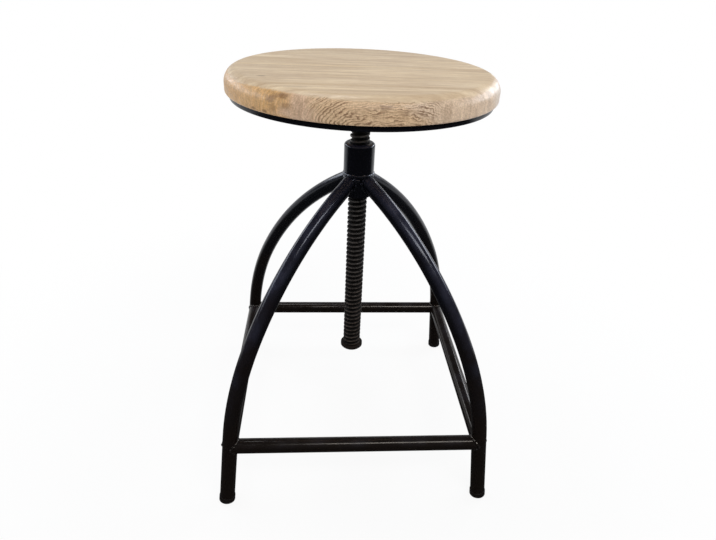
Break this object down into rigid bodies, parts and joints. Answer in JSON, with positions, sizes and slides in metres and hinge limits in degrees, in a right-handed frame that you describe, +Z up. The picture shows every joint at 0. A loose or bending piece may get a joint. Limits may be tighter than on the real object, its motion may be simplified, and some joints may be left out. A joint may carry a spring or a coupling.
{
  "type": "machinist stool",
  "caption": "Round wooden screw stool: the seat turns up and down on a coarse threaded spindle in a hub on bent tube legs joined by foot rails.",
  "frame": {"origin": "on the floor, on the axis of the spindle", "axes": "+Z up along the spindle, -Y to the front rail, +X to the right rail"},
  "size_m": [0.409, 0.409, 0.6],
  "materials": {
    "seat_wood": "satin oiled wood",
    "frame_paint": "satin black paint",
    "spindle_steel": "blackened and lightly oiled steel",
    "screw_steel": "dark zinc",
    "foot_cap": "satin black plastic"
  },
  "bodies": {
    "frame": {"hub_sleeve": "frame_paint", "threaded_nut": "frame_paint", "leg_front_left": "frame_paint", "leg_front_right": "frame_paint", "leg_back_right": "frame_paint", "leg_back_left": "frame_paint", "rail_front": "frame_paint", "rail_right": "frame_paint", "rail_back": "frame_paint", "rail_left": "frame_paint", "foot_cap_front_left": "foot_cap", "foot_cap_front_right": "foot_cap", "foot_cap_back_right": "foot_cap", "foot_cap_back_left": "foot_cap"},
    "stop_washer": {"stop_washer": "spindle_steel"},
    "seat": {"spindle": "spindle_steel", "end_screw": "spindle_steel", "mount_plate": "frame_paint", "cross_bar_long": "frame_paint", "cross_bar_front": "frame_paint", "cross_bar_back": "frame_paint", "seat_ring": "frame_paint", "wood_screws": "screw_steel", "seat_board_front_edge": "seat_wood", "seat_board_front": "seat_wood", "seat_board_back": "seat_wood", "seat_board_back_edge": "seat_wood"}
  },
  "joints": [
    {"name": "seat_lift", "type": "slide", "parent": "frame", "child": "stop_washer", "axis": [0, 0, 1], "range_m": [-0.01559, 0.26719]},
    {"name": "seat_turn", "type": "hinge", "parent": "stop_washer", "child": "seat", "pos_m": [0, 0, 0], "axis": [0, 0, 1], "range_deg": [-756, 12996]}
  ],
  "couplings": [
    {"joint": "seat_lift", "follows": "seat_turn", "m_per_rad": 0.0011777}
  ]
}
